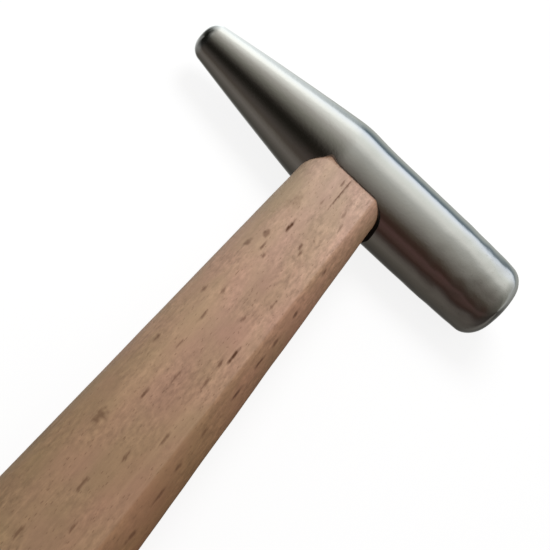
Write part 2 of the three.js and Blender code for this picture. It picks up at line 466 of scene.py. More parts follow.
def mouth_rings(outer, unit, sign):
    """Rings from a hole's border over the surface to the eye's edge, then round that edge."""
    corner = meet_round(unit, eye_half_sizes, sign)
    away = outer[:, [0, 2]] - corner[:, [0, 2]]
    start = EYE_EDGE_ROUNDING / np.linalg.norm(away, axis=1)[:, None]
    rings = []
    # The rings lie closer together towards the eye.
    for share in np.linspace(1, 0, 12)[1:] ** 1.6:
        flat = corner[:, [0, 2]] + away * lerp(start, 1, share)
        rings.append(at_height(flat, sign * head_surface_y(flat[:, 0], flat[:, 1])))
    wall_y = corner[:, 1] - sign * EYE_EDGE_ROUNDING
    wall = at_height(unit * eye_half_sizes(wall_y), wall_y)
    lip = rings[-1]
    for t in (0.2, 0.4, 0.6, 0.8, 1.0):
        rings.append((1 - t) ** 2 * lip + 2 * t * (1 - t) * corner + t * t * wall)
    return rings


def add_eye_wall(points, faces, unit, mouths):
    """Joins the two mouths of the eye by rings down its wall."""
    (top, top_y), (bottom, bottom_y) = [(ids, points_at(points, ids)[:, 1]) for ids in mouths]
    heights = [lerp(top_y, bottom_y, share) for share in np.linspace(0, 1, 16)[1:-1]]
    last = add_rings(points, faces, top, [at_height(unit * eye_half_sizes(y), y) for y in heights])
    faces += join_rings(last, bottom)


def drop_loose_points(points, faces):
    """The mesh without the points that lay inside its holes."""
    used = sorted({i for face in faces for i in face})
    renumber = {old: new for new, old in enumerate(used)}
    return points_at(points, used), [[renumber[i] for i in face] for face in faces]


# Waves in the steel: their height everywhere, what is added towards the large face, their length,
# all in millimetres, and a seed.
STEEL_WAVES = [(0.012, 0.0, 8.0, 4), (0.0, 0.12, 4.6, 6), (0.004, 0.032, 2.2, 5)]
DENTED_SPAN = (14, 38)


def dents(points):
    """How far grinding and use have raised or sunk the steel at each point."""
    dented = smoothstep(points[:, 0], *DENTED_SPAN)
    return sum(
        (height + added * dented) * ripple(points, length, seed)
        for height, added, length, seed in STEEL_WAVES
    )


def build_head(material):
    """The turned head with its eye, as one closed mesh of quads.

    Each mouth of the eye is a hole in the turned grid, joined to the eye's edge by rings that
    lie on the surface, then by a rounded edge, then by the wall of the eye.
    """
    inner = PROFILE[1:-1]
    grid = turned_grid(inner)
    start, end = [
        int(np.searchsorted(inner[:, 0], x)) for x in (-HOLE_HALF_LENGTH, HOLE_HALF_LENGTH)
    ]
    points = list(grid.reshape(-1, 3))
    faces = turned_faces(len(inner), start, end)
    add_tip(points, faces, 0, PROFILE[0, 0])
    add_tip(points, faces, len(inner) - 1, PROFILE[-1, 0])
    border = hole_border(start, end)
    border_rows, border_sides = np.array(border).T
    unit = unit_eye_towards(grid[border_rows, border_sides % HEAD_SIDES][:, [0, 2]])
    mouths = []
    for centre, sign in ((0, 1), (HEAD_SIDES // 2, -1)):
        ids = [grid_point(row, centre + sign * side) for row, side in border]
        rings = mouth_rings(points_at(points, ids), unit, sign)
        mouths.append(add_rings(points, faces, ids, rings))
    add_eye_wall(points, faces, unit, mouths)
    points, faces = drop_loose_points(points, faces)
    away = points[:, 1:] / np.maximum(np.hypot(points[:, 1], points[:, 2]), 1)[:, None]
    points[:, 1:] += away * dents(points)[:, None]
    make_piece("steel_head", points, faces, material, "head", "head_steel", sharp_angle=60)


# Handle ---------------------------------------------------------------------------------

def handle_outline(distance, inset=0.0):
    """The handle's section at a distance below the shoulder, made smaller by the inset."""
    slope = (GRIP_HALF_WIDTH - SHOULDER_HALF_WIDTH) / (TAPER_LENGTH + TAPER_BLEND_LENGTH / 2)
    blended = min(max(distance - TAPER_LENGTH, 0), TAPER_BLEND_LENGTH)
    run = min(distance, TAPER_LENGTH) + blended - blended ** 2 / (2 * TAPER_BLEND_LENGTH)
    half_width = SHOULDER_HALF_WIDTH + slope * run
    thickening = smoothstep(distance, 0, THICKENING_LENGTH)
    half_thickness = lerp(SHOULDER_HALF_THICKNESS, GRIP_HALF_THICKNESS, thickening)
    softening = smoothstep(distance, 0, TAPER_LENGTH + TAPER_BLEND_LENGTH)
    angle = math.radians(lerp(SHOULDER_CORNER_ANGLE, GRIP_CORNER_ANGLE, softening))
    flat = BROAD_FLAT_HALF_WIDTH
    start = np.array([half_width, half_thickness * SIDE_FLAT_SHARE])
    control = np.array([half_width, half_thickness - (half_width - flat) * math.tan(angle)])
    end = np.array([flat, half_thickness])
    t = np.linspace(0, 1, 40)[:, None]
    quarter = (1 - t) ** 2 * start + 2 * t * (1 - t) * control + t * t * end
    softness = lerp(SHOULDER_SOFTNESS, GRIP_SOFTNESS, softening)
    outline = even_outline(mirror_quarter(quarter), HANDLE_POINTS, softness)
    if inset:
        outline = outline - outline_normals(outline) * inset
    return outline


def handle_ring(distance, inset=0.0):
    return at_height(handle_outline(distance, inset), SHOULDER_Y - distance)


def shoulder_lip(outline):
    """How far a thin lip stands out of the shoulder, on the right side only; it is painted near
    black as the shade in the gap against the head.
    """
    x, z = outline.T
    return SHOULDER_LIP * smoothstep(z, *LIP_UPPER_SPAN) * smoothstep(z, *LIP_LOWER_SPAN) * (x > 0)


def column(unit, half_sizes, bottom, recess, count):
    """Rings up a column and over its end, which follows the round of the head, sunk a little."""
    top = meet_round(unit, half_sizes, 1, recess)
    rings = []
    for share in np.linspace(0, 1, count):
        y = lerp(bottom, top[:, 1], share)
        rings.append(at_height(unit * half_sizes(y), y))
    for share in (0.97, 0.88, 0.75, 0.55, 0.35, 0.15):
        flat = top[:, [0, 2]] * share
        rings.append(at_height(flat, head_surface_y(flat[:, 0], flat[:, 1]) - recess))
    return rings


def tenon_half_sizes(y):
    return eye_half_sizes(y) - TENON_CLEARANCE


def crushed_rise(flat):
    """How far the end grain at the shoulder was crushed up towards the head, most at the sides."""
    gap = -head_surface_y(flat[:, 0], flat[:, 1]) - CONTACT_GAP - SHOULDER_Y
    most = lerp(FACE_CRUSH, SIDE_CRUSH, smoothstep(np.abs(flat[:, 0]), *SIDE_CRUSH_SPAN))
    return np.minimum(gap, most)


def butt_rings(straight):
    """Rings over the flat of the butt and round its edge, up to the straight length."""
    rings = []
    for share in (0.25, 0.5, 0.75):
        ring = handle_ring(HANDLE_LENGTH, BUTT_ROUNDING)
        ring[:, [0, 2]] *= share
        rings.append(ring)
    for turn in np.linspace(math.pi / 2, 0, 9)[:-1]:
        inset = BUTT_ROUNDING * (1 - math.cos(turn))
        rings.append(handle_ring(straight + BUTT_ROUNDING * math.sin(turn), inset))
    return rings


def shoulder_rings():
    """Rings out over the thin underside of the lip, then round the shoulder's edge."""
    outline = handle_outline(0)
    normals = outline_normals(outline)
    lip = shoulder_lip(outline)[:, None]
    rings = []
    for share, rise in ((0, 0), (LIP_UNDERSIDE_SHARE, LIP_UNDERSIDE_RISE)):
        y = SHOULDER_Y - LIP_THICKNESS + rise
        rings.append(at_height(outline + normals * (lip * share), y))
    for turn in np.linspace(0, math.pi / 2, 6):
        inset = SHOULDER_ROUNDING * (1 - math.cos(turn))
        y = SHOULDER_Y - SHOULDER_ROUNDING * (1 - math.sin(turn))
        rings.append(at_height(outline + normals * (lip - inset), y))
    return rings


def tenon_rings(edge):
    """Rings from the shoulder's edge in over the end grain, then up the tenon."""
    unit = unit_eye_towards(edge)
    foot = unit * tenon_half_sizes(np.full(len(unit), SHOULDER_Y))
    rings = []
    for share in (0.02, 0.05, 0.1, 0.2, 0.4, 0.6, 0.8):
        flat = lerp(edge, foot, share)
        rise = crushed_rise(flat) * smoothstep(share, 0.0, 0.1)
        rings.append(at_height(flat, SHOULDER_Y + rise))
    return rings + column(unit, tenon_half_sizes, SHOULDER_Y, TENON_RECESS, count=24)


def handle_blank():
    """Rings from the butt to the end of the tenon, closer together near the head."""
    straight = HANDLE_LENGTH - BUTT_ROUNDING
    rings = butt_rings(straight)
    coarse = np.linspace(straight, FINE_LENGTH, COARSE_RINGS, endpoint=False)
    fine = np.linspace(FINE_LENGTH, SIDE_START, FINE_RINGS)
    rings += [handle_ring(distance) for distance in (*coarse, *fine)]
    rings += shoulder_rings()
    return rings + tenon_rings(rings[-1][:, [0, 2]])


# Dark marks on the handle's upper side: the x and y of the middle, the length along the grain
# and the width, all in millimetres, and the strength.
HANDLE_MARKS = [
    (-0.2, -15.8, 9.0, 0.30, 0.75), (-1.3, -13.7, 2.0, 0.4, 0.5), (3.0, -20.0, 1.6, 0.4, 0.4),
    (4.0, -23.0, 1.8, 0.4, 0.4), (-2.0, -21.7, 2.0, 0.4, 0.4), (-6.1, -26.0, 5.0, 2.0, 0.2),
    (-3.7, -32.0, 3.6, 0.5, 0.9), (-6.3, -37.0, 2.2, 0.9, 0.5), (-7.7, -41.0, 2.0, 0.9, 0.5),
    (-5.2, -40.0, 2.6, 0.4, 0.6), (-3.9, -41.7, 2.0, 0.4, 0.5), (0.4, -34.0, 1.8, 0.5, 0.6),
    (1.1, -35.4, 1.8, 0.5, 0.6),
    (7.0, -33.7, 2.0, 0.5, 0.6), (7.7, -46.0, 2.4, 0.5, 0.6), (8.0, -53.7, 2.0, 0.5, 0.5),
    (7.9, -59.0, 3.2, 0.4, 0.7), (8.2, -67.5, 3.4, 0.4, 0.7), (8.4, -91.5, 3.4, 0.4, 0.6),
    (3.3, -49.0, 2.4, 0.4, 0.5), (-5.3, -54.0, 2.4, 0.4, 0.5), (-8.0, -55.7, 2.0, 0.5, 0.5),
    (0.7, -55.7, 2.2, 0.4, 0.5), (-5.1, -61.0, 2.6, 0.5, 0.5), (3.5, -63.0, 4.0, 0.5, 0.9),
    (2.5, -66.0, 2.2, 0.4, 0.6), (-5.0, -68.7, 2.4, 0.4, 0.5), (-8.5, -69.8, 2.0, 0.5, 0.5),
    (2.7, -71.3, 2.2, 0.4, 0.5), (-1.8, -74.3, 2.4, 0.4, 0.5), (7.8, -77.7, 2.2, 0.5, 0.5),
    (-4.0, -80.7, 2.6, 0.4, 0.6), (3.3, -84.3, 2.4, 0.4, 0.5), (7.9, -85.7, 2.2, 0.5, 0.5),
    (-7.0, -88.5, 3.0, 1.4, 0.5), (0.3, -91.0, 2.4, 0.4, 0.5), (-2.2, -99.3, 2.6, 0.4, 0.5),
    (8.9, -99.7, 2.4, 0.5, 0.5), (1.0, -105.7, 2.4, 0.4, 0.5), (-4.7, -111.7, 2.6, 0.5, 0.5),
]
WELD_DISTANCE = 0.0005
# Layers of the handle's mesh: its dark grain marks, and painted shade at the shoulder.
MARK_LAYER = "grain_mark"
PAINTED_SHADE_LAYER = "shoulder_painted_shade"
MARK_RAGGEDNESS = 0.5
MARK_RIPPLE = 0.8
MARK_EDGE_SPAN = (1.5, 0.5)
PORE_DEPTH = 0.06


def mark_strength(points):
    """How strongly the listed marks darken each point of the handle's upper side."""
    ragged = MARK_RAGGEDNESS * ripple(points, MARK_RIPPLE, 3)
    total = np.zeros(len(points))
    for x, y, length, width, strength in HANDLE_MARKS:
        away = np.hypot((points[:, 0] - x) / (width / 2), (points[:, 1] - y) / (length / 2))
        total = np.maximum(total, strength * smoothstep(away + ragged, *MARK_EDGE_SPAN))
    return total * (points[:, 2] > 0)


def painted_shade_strength(points):
    """How much painted shade, for the gap against the head, darkens the lip and the end grain
    inside the shoulder at each point.
    """
    height = points[:, 1] - SHOULDER_Y
    end_grain = (height > LIP_UNDERSIDE_RISE / 2 - LIP_THICKNESS) & (height < PAINTED_SHADE_RISE)
    lip = shoulder_lip(points[:, [0, 2]]) / SHOULDER_LIP
    return end_grain * lerp(END_GRAIN_PAINTED_SHADE, 1.0, smoothstep(lip, 0.1, 0.3))


def right_swell(points, distance):
    """How far the right side swells just below the shoulder."""
    x, _, z = points.T
    right = smoothstep(x, *RIGHT_SWELL_X_SPAN) * smoothstep(np.abs(z - 1), *RIGHT_SWELL_Z_SPAN)
    below = smoothstep(distance, *RIGHT_SWELL_LENGTH_SPAN) * (distance > -0.01)
    return RIGHT_SWELL * right * below


# Waves of hand sanding, long along the grain: their height, their length across it and a seed.
SANDING_WAVES = [(0.05, 5.0, 1), (0.02, 1.8, 2)]
SANDING_STRETCH = [1, 0.35, 1]
SANDING_FADE = 2.0


def sanding_waves(points, distance):
    """How far hand sanding raised or sank each point, less and less up to the shoulder."""
    stretched = points * SANDING_STRETCH
    wave = sum(height * ripple(stretched, length, seed) for height, length, seed in SANDING_WAVES)
    return wave * np.clip(distance / SANDING_FADE, 0, 1)


def torn_edge(points):
    """How far the shoulder's outer edge is torn up, most at its raised splinter."""
    flat = points[:, [0, 2]]
    near_edge = smoothstep(np.abs(points[:, 1] - SHOULDER_Y), *TORN_EDGE_SPAN)
    near_edge = near_edge * (np.hypot(*flat.T) > TORN_EDGE_RADIUS)
    splinter = np.exp(-((flat - SPLINTER_PLACE) ** 2).sum(1) / SPLINTER_SPREAD)
    ragged = TORN_EDGE * ripple(points, TORN_EDGE_RIPPLE, 7)
    return near_edge * (ragged + SPLINTER_RISE * splinter)


def weather(points):
    """The handle's points after sanding and wear."""
    out = points.copy()
    flat = points[:, [0, 2]]
    distance = SHOULDER_Y - points[:, 1]
    away = flat / np.maximum(np.hypot(*flat.T), 1)[:, None]
    out[:, 0] += right_swell(points, distance)
    out[:, [0, 2]] += away * sanding_waves(points, distance)[:, None]
    out[:, 1] += torn_edge(points)
    return out


def drop_paired_faces(mesh):
    """Removes the back-to-back pairs of slivers that a cut can leave on its edges."""
    work = bmesh.new()
    work.from_mesh(mesh)
    bmesh.ops.remove_doubles(work, verts=work.verts, dist=WELD_DISTANCE * MM)
    many_sided = [face for face in work.faces if len(face.verts) > 4]
    bmesh.ops.triangulate(work, faces=many_sided)
    groups = {}
    for face in work.faces:
        groups.setdefault(frozenset(face.verts), []).append(face)
    paired = [face for group in groups.values() if len(group) > 1 for face in group]
    bmesh.ops.delete(work, geom=paired, context="FACES")
    work.to_mesh(mesh)
    work.free()


def subtract(piece, cutters):
    """Cuts the cutters out of the piece for good, and removes them."""
    for cutter in cutters:
        cut = piece.modifiers.new("cut", "BOOLEAN")
        cut.operation = "DIFFERENCE"
        cut.solver = "EXACT"
        cut.object = cutter
    graph = bpy.context.evaluated_depsgraph_get()
    made = bpy.data.meshes.new_from_object(piece.evaluated_get(graph))
    piece.modifiers.clear()
    drop_paired_faces(made)
    piece.data = made
    for cutter in cutters:
        bpy.data.objects.remove(cutter)


def wood_wedge_half_sizes(y):
    share = (SWELL_RADIUS - y) / WOOD_WEDGE["depth"]
    half_x = eye_half_sizes(y)[:, 0] - TENON_CLEARANCE
    return np.column_stack([half_x, lerp(WOOD_WEDGE["top"], WOOD_WEDGE["tip"], share) / 2])


def steel_wedge_half_sizes(y):
    share = (SWELL_RADIUS - y) / STEEL_WEDGE["depth"]
    half_z = STEEL_WEDGE["half_width"] - STEEL_WEDGE["narrowing"] * share
    return np.column_stack([lerp(STEEL_WEDGE["top"], STEEL_WEDGE["tip"], share) / 2, half_z])


WEDGE_UNIT = even_outline(rounded_rectangle(1, 1, WEDGE_CORNER), WEDGE_POINTS, 0)


def wedge_cutter(half_sizes, depth, overrun=0.0):
    """A blade a little larger than the wedge, to cut its slot; overrun lengthens it along X."""
    rings = []
    for y in (SWELL_RADIUS - depth - WEDGE_CLEARANCE, SWELL_RADIUS + CUTTER_RISE):
        half = half_sizes(np.full(WEDGE_POINTS, y)) + [WEDGE_CLEARANCE + overrun, WEDGE_CLEARANCE]
        rings.append(at_height(WEDGE_UNIT * half, y))
    return make_piece("cutter", *stack_rings(rings))


def build_handle(material):
    points, faces = stack_rings(handle_blank())
    points = np.array(points)
    marks = mark_strength(points)
    # Painted shade for the gap between the shoulder and the head.
    painted_shade = painted_shade_strength(points)
    points = weather(points)
    points[:, 2] -= PORE_DEPTH * marks
    handle = make_piece("beech_handle", points, faces, material, "handle", "handle_beech")
    for layer, values in ((MARK_LAYER, marks), (PAINTED_SHADE_LAYER, painted_shade)):
        handle.data.attributes.new(layer, "FLOAT", "POINT").data.foreach_set("value", values)
    subtract(handle, [
        wedge_cutter(wood_wedge_half_sizes, WOOD_WEDGE["depth"], KERF_OVERRUN),
        wedge_cutter(steel_wedge_half_sizes, STEEL_WEDGE["depth"]),
    ])
    set_shading(handle.data, sharp_angle=50)


def wedge_mesh(half_sizes, wedge, count):
    """A wedge whose end lies a little below the round of the head."""
    bottom = SWELL_RADIUS - wedge["depth"]
    return stack_rings(column(WEDGE_UNIT, half_sizes, bottom, wedge["recess"], count))


def build_wood_wedge(material):
    points, faces = wedge_mesh(wood_wedge_half_sizes, WOOD_WEDGE, count=16)
    wedge = make_piece("wood_wedge", points, faces, material, "wooden_wedge", "wedge_wood")
    subtract(wedge, [wedge_cutter(steel_wedge_half_sizes, STEEL_WEDGE["depth"])])
    set_shading(wedge.data, sharp_angle=40)


def build_steel_wedge(material):
    points, faces = wedge_mesh(steel_wedge_half_sizes, STEEL_WEDGE, count=12)
    make_piece("metal_wedge", points, faces, material, "steel_wedge", "wedge_steel")


# Materials ------------------------------------------------------------------------------

MICRON = 1e-6


def srgb(red, green, blue, gain=1.0):
    """A linear colour with alpha from 0 to 255 screen values, made brighter by the gain."""
    def linear(value):
        value /= 255
        return value / 12.92 if value <= 0.04045 else ((value + 0.055) / 1.055) ** 2.4
    return (linear(red) * gain, linear(green) * gain, linear(blue) * gain, 1.0)


class Shader:
    """Adds nodes to a tree. Each method gives the socket that holds its result."""

    def __init__(self, owner):
        owner.use_nodes = True
        self.tree = owner.node_tree
        self.tree.nodes.clear()

    def add(self, kind, inputs, output=0, **settings):
        node = self.tree.nodes.new("ShaderNode" + kind)
        for key, value in settings.items():
            setattr(node, key, value)
        for key, value in inputs.items():
            if isinstance(value, bpy.types.NodeSocket):
                self.tree.links.new(value, node.inputs[key])
            else:
                node.inputs[key].default_value = value
        return None if output is None else node.outputs[output]

    def math(self, operation, *values, clamp=False):
        return self.add("Math", dict(enumerate(values)), operation=operation, use_clamp=clamp)

    def millimetres(self):
        """The point on the object, in millimetres about the middle of the eye."""
        point = self.add("TexCoord", {}, "Object")
        away = self.add("VectorMath", {0: point, 1: EYE}, operation="SUBTRACT")
        return self.add("VectorMath", {0: away, "Scale": 1 / MM}, operation="SCALE")

    def xyz(self, value):
        first = self.add("SeparateXYZ", {0: value})
        return [first.node.outputs[k] for k in range(3)]

    def stretched(self, value, scale, turn=(0, 0, 0)):
        return self.add("Mapping", {"Vector": value, "Rotation": turn, "Scale": scale})

    def noise(self, value, scale=1.0, detail=2.0, roughness=0.5):
        inputs = {"Vector": value, "Scale": scale, "Detail": detail, "Roughness": roughness}
        return self.add("TexNoise", inputs)

    def grain(self, value, scale, detail=2, roughness=0.5, turn=(0, 0, 0)):
        """Noise whose scale differs along the three axes."""
        return self.noise(self.stretched(value, scale, turn), 1.0, detail, roughness)

    def span(self, value, low, high, out_low=0.0, out_high=1.0):
        """The value, with its range from low to high mapped to the other range and kept in it."""
        return self.add("MapRange", {0: value, 1: low, 2: high, 3: out_low, 4: out_high})

    def ramp(self, value, stops):
        """A colour from stops of (place from 0 to 1, colour)."""
        made = self.add("ValToRGB", {0: value})
        band = made.node.color_ramp
        band.elements.remove(band.elements[1])
        band.elements[0].position = stops[0][0]
        band.elements[0].color = stops[0][1]
        for place, colour in stops[1:]:
            band.elements.new(place).color = colour
        return made

    def grey(self, value):
        return self.add("CombineXYZ", {0: value, 1: value, 2: value})

    def mix(self, share, first, second, blend="MIX"):
        inputs = {0: share, 6: first, 7: second}
        return self.add("Mix", inputs, 2, data_type="RGBA", blend_type=blend)

    def bump(self, height, distance, normal=None):
        """A normal tilted by this height, on top of another normal if there is one."""
        inputs = {"Height": height, "Distance": distance, "Strength": 1.0}
        if normal:
            inputs["Normal"] = normal
        return self.add("Bump", inputs)

    def surface(self, inputs):
        self.add("OutputMaterial", {"Surface": self.add("BsdfPrincipled", inputs)}, output=None)


def new_shader(name):
    material = bpy.data.materials.new(name)
    return material, Shader(material)


def polished_steel():
    material, shader = new_shader("polished_steel")
    spot = shader.millimetres()
    x, _, _ = shader.xyz(spot)
    cloud = shader.noise(spot, 0.16, 3)
    fine = shader.noise(spot, 1.4, 4, 0.6)
    # Fine scratches and broader grinding marks run round the head, and a few scratches cross them.
    round_scratch = shader.grain(spot, (7.0, 0.35, 0.35), 3, 0.6)
    grind = shader.grain(spot, (1.3, 0.25, 0.25), 3, 0.6)
    cross = shader.grain(spot, (0.5, 7.0, 7.0), 3, turn=(0.3, 0.5, 0.8))
    # Small dull pits gather towards the large face.
    pits = shader.noise(spot, 1.1, 2, 0.7)
    near_face = shader.span(x, 18, 40)
    pitted = shader.math("MULTIPLY", shader.span(pits, 0.60, 0.70), near_face, clamp=True)
    tone = shader.mix(cloud, (0.60, 0.598, 0.59, 1), (0.66, 0.66, 0.655, 1))
    tone = shader.mix(shader.math("MULTIPLY", pitted, 0.3), tone, (0.36, 0.34, 0.32, 1))
    rough = shader.span(shader.math("ADD", cloud, fine), 0.7, 1.3, 0.035, 0.075)
    rough = shader.math("MULTIPLY_ADD", pitted, 0.12, rough)
    normal = shader.bump(pits, 12 * MICRON)
    normal = shader.bump(round_scratch, 2.5 * MICRON, normal)
    normal = shader.bump(cross, 2.5 * MICRON, normal)
    normal = shader.bump(grind, 5 * MICRON, normal)
    normal = shader.bump(fine, 10 * MICRON, normal)
    shader.surface({"Base Color": tone, "Metallic": 1.0, "Roughness": rough, "Normal": normal})
    return material


def wedge_steel():
    material, shader = new_shader("wedge_steel")
    spot = shader.millimetres()
    cloud = shader.noise(spot, 0.7, 4, 0.6)
    hammered = shader.noise(spot, 2.2, 3)
    tone = shader.mix(cloud, (0.20, 0.19, 0.18, 1), (0.46, 0.45, 0.43, 1))
    rough = shader.span(cloud, 0.3, 0.7, 0.28, 0.5)
    normal = shader.bump(hammered, 80 * MICRON)
    shader.surface({"Base Color": tone, "Metallic": 1.0, "Roughness": rough, "Normal": normal})
    return material


def wood_grain(shader, spot):
    """Broad streaks, fine fibres, slow changes and flecks of wood whose grain runs along Y."""
    streak = shader.grain(spot, (0.30, 0.010, 0.30), 3)
    fibre = shader.grain(spot, (3.0, 0.10, 3.0), 4, 0.65)
    wander = shader.grain(spot, (0.3, 0.06, 0.3))
    cells = shader.stretched(spot, (1.2, 0.16, 1.2))
    voronoi = shader.add("TexVoronoi", {"Vector": cells, "Randomness": 1.0}, "Distance")
    pick = shader.xyz(voronoi.node.outputs["Color"])[0]
    size = shader.span(pick, 0.6, 1.0, 0.0, 0.34)
    fleck = shader.span(shader.math("SUBTRACT", size, voronoi), 0.0, 0.10)
    return streak, fibre, wander, fleck


def board_tone(shader, across, along):
    """The beech's colour, pinker towards the shoulder and darker towards the butt, partly as
    painted light falloff, with a pale band along the right arris as painted highlight and painted
    shade past it.
    """
    # Darker and browner towards the butt: partly the beech's own colour, partly painted falloff of
    # the light away from the head end.
    tone = shader.ramp(shader.span(along, 10, -230), [
        (0.10, srgb(200, 171, 152)),
        (0.17, srgb(195, 163, 142)),
        (0.24, srgb(191, 156, 134)),
        (0.33, srgb(184, 149, 124)),
        (0.42, srgb(174, 140, 112)),
        (1.00, srgb(165, 132, 101)),
    ])
    # Across the handle: the pale band before the right arris is painted highlight, and the darker,
    # more orange stops past it are painted shade on the side turned from the light.
    board = shader.ramp(shader.span(across, -12, 12), [
        (0.02, (0.90, 0.93, 0.85, 1)),
        (0.22, (0.96, 0.98, 0.93, 1)),
        (0.38, (1.00, 1.00, 1.00, 1)),
        (0.615, (0.97, 0.95, 0.94, 1)),
        (0.63, (1.09, 1.09, 1.08, 1)),
        (0.735, (1.09, 1.08, 1.06, 1)),
        (0.75, (0.93, 0.86, 0.77, 1)),
        (0.98, (0.94, 0.86, 0.72, 1)),
    ])
    return shader.mix(1.0, tone, board, "MULTIPLY")


def patchy_tint(shader, spot):
    """Soft patches, some pinker and some greener."""
    patch = shader.span(shader.grain(spot, (0.16, 0.07, 0.16)), 0.35, 0.65)
    return shader.mix(patch, (1.03, 0.98, 1.01, 1), (0.98, 1.01, 0.95, 1))


def beech_shade(shader, spot, streak, fibre, wander, fuzz):
    """How light the beech is from its streaks, fibres and worn, speckled patches."""
    worn = shader.span(shader.noise(spot, 0.09, 2), 0.4, 0.6, 0.25, 1.25)
    shade = shader.span(streak, 0.3, 0.7, 0.91, 1.08)
    shade = shader.math("MULTIPLY", shade, shader.span(fibre, 0.25, 0.75, 0.95, 1.05))
    shade = shader.math("MULTIPLY", shade, shader.span(wander, 0.3, 0.7, 0.96, 1.04))
    specks = shader.math("MULTIPLY", shader.span(fuzz, 0.3, 0.7, -0.17, 0.17), worn)
    return shader.grey(shader.math("MULTIPLY_ADD", shade, specks, shade))


def dark_shoulder(shader, tone, along, fuzz):
    """The tone with painted shade where the shoulder meets the head: a ragged brown edge, and near
    black on its end grain and lip.
    """
    ragged = shader.math("ADD", along, shader.span(fuzz, 0.3, 0.7, -0.5, 0.5))
    edge = shader.span(ragged, SHOULDER_Y - 0.9, SHOULDER_Y, 0, 0.75)
    below_eye = shader.math("LESS_THAN", along, SHOULDER_Y + 2)
    # Painted shade: a ragged brown band along the shoulder's edge, where it meets the head.
    tone = shader.mix(shader.math("MULTIPLY", edge, below_eye), tone, srgb(118, 80, 54))
    # Painted shade: near black on the end grain and lip, in the gap against the head.
    painted_shade = shader.add("Attribute", {}, "Fac", attribute_name=PAINTED_SHADE_LAYER)
    return shader.mix(shader.span(painted_shade, 0.05, 1.0), tone, srgb(14, 8, 5))


def beech():
    material, shader = new_shader("beech")
    spot = shader.millimetres()
    across, along, _ = shader.xyz(spot)
    streak, fibre, wander, fleck = wood_grain(shader, spot)
    fuzz = shader.grain(spot, (1.5, 0.55, 1.5), 3, 0.6)
    marks = shader.add("Attribute", {}, "Fac", attribute_name=MARK_LAYER)
    tone = board_tone(shader, across, along)
    tone = shader.mix(1.0, tone, patchy_tint(shader, spot), "MULTIPLY")
    shade = beech_shade(shader, spot, streak, fibre, wander, fuzz)
    tone = shader.mix(1.0, tone, shade, "MULTIPLY")
    tone = shader.mix(shader.math("MULTIPLY", fleck, 0.5), tone, srgb(122, 84, 58))
    tone = shader.mix(shader.math("MULTIPLY", marks, 1.2, clamp=True), tone, srgb(96, 62, 42))
    tone = dark_shoulder(shader, tone, along, fuzz)
    rough = shader.span(fibre, 0.3, 0.7, 0.68, 0.52)
    pores = shader.math("MULTIPLY_ADD", fleck, -0.6, shader.math("ADD", fibre, fuzz))
    normal = shader.bump(pores, 60 * MICRON)
    shader.surface({
        "Base Color": tone, "Roughness": rough, "Normal": normal, "Specular IOR Level": 0.3,
    })
    return material


def wedge_wood():
    material, shader = new_shader("wedge_wood")
    spot = shader.stretched(shader.millimetres(), (1, 1, 1), (0, 0.4, 0))
    streak, fibre, wander, fleck = wood_grain(shader, spot)
    shade = shader.math("MULTIPLY", shader.span(fibre, 0.25, 0.75, 0.88, 1.1), wander)
    tone = shader.mix(streak, srgb(214, 180, 138), srgb(186, 146, 104))
    tone = shader.mix(1.0, tone, shader.grey(shader.span(shade, 0.3, 0.7, 0.85, 1.1)), "MULTIPLY")
    tone = shader.mix(shader.math("MULTIPLY", fleck, 0.5), tone, srgb(110, 74, 48))
    normal = shader.bump(fibre, 80 * MICRON)
    shader.surface({
        "Base Color": tone, "Roughness": 0.68, "Normal": normal, "Specular IOR Level": 0.3,
    })
    return material


# Studio ---------------------------------------------------------------------------------

# What the polished steel mirrors, as stops of (degrees, red, green, blue): the angle of a ray
# about the head's axis, 0 along +Y and 90 straight up, and the screen values that it gives. The
# room changes along the head, from the tip of its small end to its large end.
STEEL_REFLECTANCE = 0.63
FIRST_ANGLE = -60
TIP_ROOM = [
    (-60, 110, 110, 108), (-30, 54, 54, 51), (0, 34, 35, 32), (30, 28, 29, 26), (58, 20, 21, 18),
    (160, 20, 20, 18), (223, 26, 27, 24), (250, 66, 66, 64), (285, 112, 112, 110),
    (300, 110, 110, 108),
]
SMALL_END_ROOM = [
    (-60, 150, 150, 148), (-30, 64, 64, 62), (-5, 78, 79, 76), (17, 140, 142, 138),
    (45, 98, 100, 96), (80, 138, 138, 133), (120, 44, 44, 41), (160, 20, 20, 18),
    (200, 42, 42, 40), (232, 112, 112, 110), (261, 122, 122, 120), (285, 150, 150, 148),
    (300, 150, 150, 148),
]
BRIGHT_ROOM = [
    (-60, 214, 217, 216), (-35, 244, 247, 246), (-18, 240, 246, 246), (0, 236, 242, 242),
    (15, 250, 255, 253), (35, 251, 253, 248), (43, 243, 244, 237), (50, 216, 216, 209),
    (62, 192, 191, 184), (78, 154, 151, 144), (103, 108, 106, 98), (124, 66, 63, 57),
    (136, 38, 35, 31), (146, 25, 23, 19), (157, 26, 24, 20), (168, 38, 35, 31),
    (186, 61, 56, 52), (202, 68, 62, 56), (212, 86, 81, 75), (226, 94, 89, 84),
    (246, 80, 76, 71), (267, 69, 67, 62), (285, 100, 98, 94), (300, 214, 217, 216),
]
